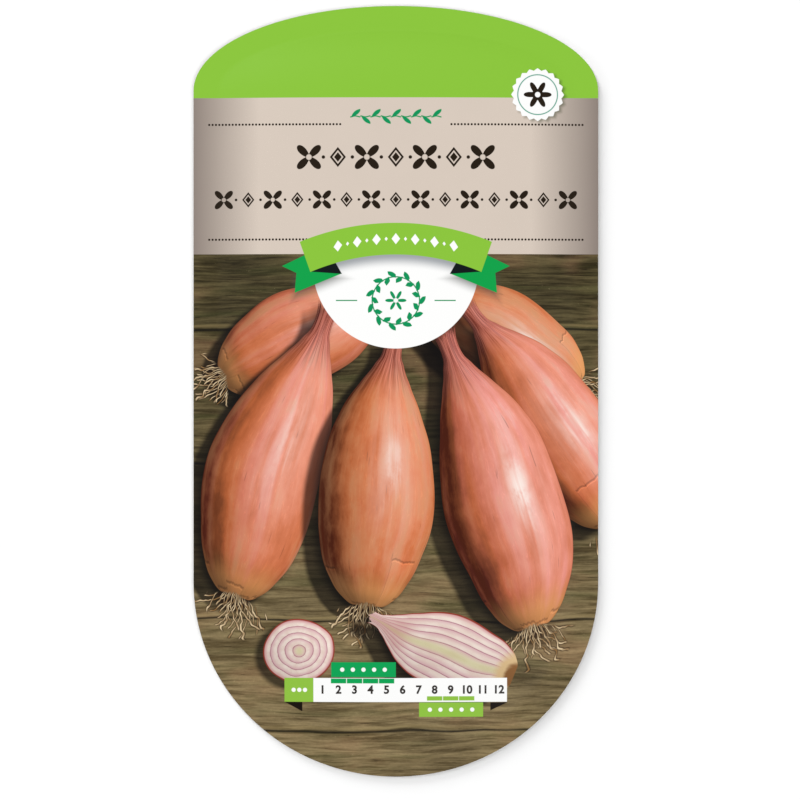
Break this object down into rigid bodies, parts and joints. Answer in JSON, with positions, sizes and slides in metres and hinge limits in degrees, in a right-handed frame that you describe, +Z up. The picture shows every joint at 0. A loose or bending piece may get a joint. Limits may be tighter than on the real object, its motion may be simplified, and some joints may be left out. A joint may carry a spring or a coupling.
{
  "type": "seed packet",
  "caption": "Flat card seed packet with rounded ends and a sealed rim, its front a low dome over an inner sachet that holds the seeds.",
  "frame": {"origin": "on the surface that the packet lies on, under the middle of its outline", "axes": "+Z up out of the printed front, +Y to the packet's top, +X to its right"},
  "size_m": [0.084, 0.16, 0.0035],
  "materials": {
    "front_card": "printed and varnished, satin",
    "back_card": "printed, matt",
    "sachet_film": "foil-lined paper, satin",
    "seed_coat": "dry, wrinkled, matt"
  },
  "bodies": {
    "root": {"back_panel": "back_card", "front_panel": "front_card", "sachet_back": "sachet_film", "sachet_front": "sachet_film", "seeds": "seed_coat"}
  },
  "joints": []
}
